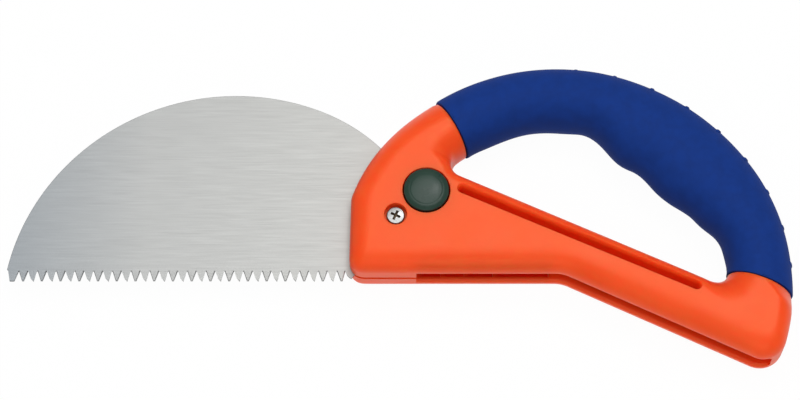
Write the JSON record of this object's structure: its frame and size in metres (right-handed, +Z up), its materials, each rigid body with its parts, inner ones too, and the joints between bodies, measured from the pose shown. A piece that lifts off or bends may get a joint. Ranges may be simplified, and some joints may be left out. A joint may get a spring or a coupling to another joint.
{
  "type": "folding saw",
  "caption": "Folding saw with a half-moon blade that swings on a pivot screw into a slotted D-shaped handle with a soft grip and a push-button blade clamp.",
  "frame": {"origin": "foot of the blade's pivot axis on the flat side that the saw lies on", "axes": "+X from the blade to the handle's tail, +Y from the teeth to the grip, +Z up from the rest face to the side with the button"},
  "size_m": [0.3123, 0.1249, 0.0292],
  "materials": {
    "orange_plastic": "satin moulded",
    "blue_grip": "matt, fine grained",
    "blade_steel": "fine lengthwise grain",
    "screw_steel": "bright zinc",
    "bush_steel": "turned",
    "washer_plastic": "smooth",
    "insert_brass": "turned",
    "button_plastic": "satin moulded",
    "plunger_steel": "turned",
    "spring_steel": "drawn wire"
  },
  "bodies": {
    "handle": {"front_shell": "orange_plastic", "rear_shell": "orange_plastic", "front_grip": "blue_grip", "rear_grip": "blue_grip", "pivot_screw": "screw_steel", "pivot_bush": "bush_steel", "front_washer": "washer_plastic", "rear_washer": "washer_plastic", "pivot_insert": "insert_brass", "lock_spring": "spring_steel", "case_screw_neck": "screw_steel", "case_screw_crown": "screw_steel", "case_screw_palm": "screw_steel", "case_screw_wrist": "screw_steel", "case_screw_tail": "screw_steel"},
    "blade": {"saw_blade": "blade_steel"},
    "lock": {"lock_button": "button_plastic", "lock_plunger": "plunger_steel"}
  },
  "joints": [
    {"name": "blade_fold", "type": "hinge", "parent": "handle", "child": "blade", "pos_m": [0, 0, 0.0135], "axis": [0, 0, 1], "range_deg": [0, 153]},
    {"name": "button_press", "type": "slide", "parent": "handle", "child": "lock", "axis": [0, 0, -1], "range_m": [0, 0.003], "stiffness_N_per_m": 600, "springref_m": -0.003, "deforming": ["lock_spring"]}
  ]
}
